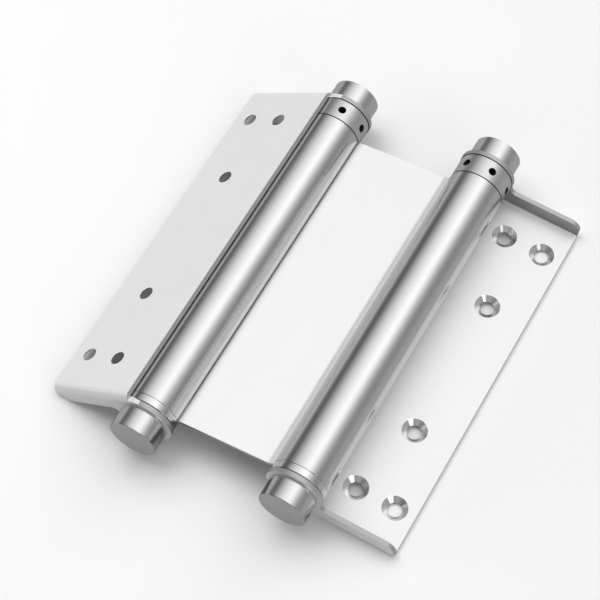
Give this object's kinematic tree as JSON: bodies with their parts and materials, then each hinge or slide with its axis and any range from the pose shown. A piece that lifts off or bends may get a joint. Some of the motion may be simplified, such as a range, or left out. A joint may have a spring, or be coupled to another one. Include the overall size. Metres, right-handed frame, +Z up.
{
  "type": "double action spring hinge",
  "caption": "Double action spring hinge: a centre plate rolled into two barrels, a countersunk leaf on each, tension collars with bar holes and end caps.",
  "frame": {"origin": "middle of the area that the hinge stands on, between its two free edges", "axes": "+Y along the barrels, towards the tension collars; +X from the left leaf to the right leaf; +Z up"},
  "size_m": [0.1644, 0.196, 0.0327],
  "materials": {
    "polished_sheet": "polished stainless sheet with lengthwise grain",
    "satin_sheet": "satin stainless sheet",
    "turned_steel": "turned and polished stainless steel",
    "satin_collar": "turned satin stainless steel",
    "spring_steel": "drawn and oiled spring wire",
    "washer_plastic": "dark moulded plastic"
  },
  "bodies": {
    "centre": {"centre_plate": "polished_sheet", "left_anchor_bush": "satin_collar", "right_anchor_bush": "satin_collar", "left_torsion_spring": "spring_steel", "right_torsion_spring": "spring_steel"},
    "left_leaf": {"left_leaf": "satin_sheet", "left_spindle": "turned_steel", "left_near_cap": "turned_steel", "left_far_cap": "turned_steel", "left_near_washer": "washer_plastic", "left_far_washer": "washer_plastic"},
    "left_collar": {"left_tension_collar": "satin_collar", "left_collar_washer": "washer_plastic"},
    "right_leaf": {"right_leaf": "satin_sheet", "right_spindle": "turned_steel", "right_near_cap": "turned_steel", "right_far_cap": "turned_steel", "right_near_washer": "washer_plastic", "right_far_washer": "washer_plastic"},
    "right_collar": {"right_tension_collar": "satin_collar", "right_collar_washer": "washer_plastic"}
  },
  "joints": [
    {"name": "left_leaf_swing", "type": "hinge", "parent": "centre", "child": "left_leaf", "pos_m": [-0.03435, 0, 0.01776], "axis": [0, 1, 0], "range_deg": [-149.75, 105.25]},
    {"name": "left_collar_turn", "type": "hinge", "parent": "centre", "child": "left_collar", "pos_m": [-0.03435, 0, 0.01776], "axis": [0, 1, 0], "range_deg": [0, 180], "stiffness_Nm_per_rad": 0.9, "deforming": ["left_torsion_spring"]},
    {"name": "right_leaf_swing", "type": "hinge", "parent": "centre", "child": "right_leaf", "pos_m": [0.03661, 0, 0.01993], "axis": [0, 1, 0], "range_deg": [-187.75, 67.25]},
    {"name": "right_collar_turn", "type": "hinge", "parent": "centre", "child": "right_collar", "pos_m": [0.03661, 0, 0.01993], "axis": [0, 1, 0], "range_deg": [0, 180], "stiffness_Nm_per_rad": 0.9, "deforming": ["right_torsion_spring"]}
  ]
}
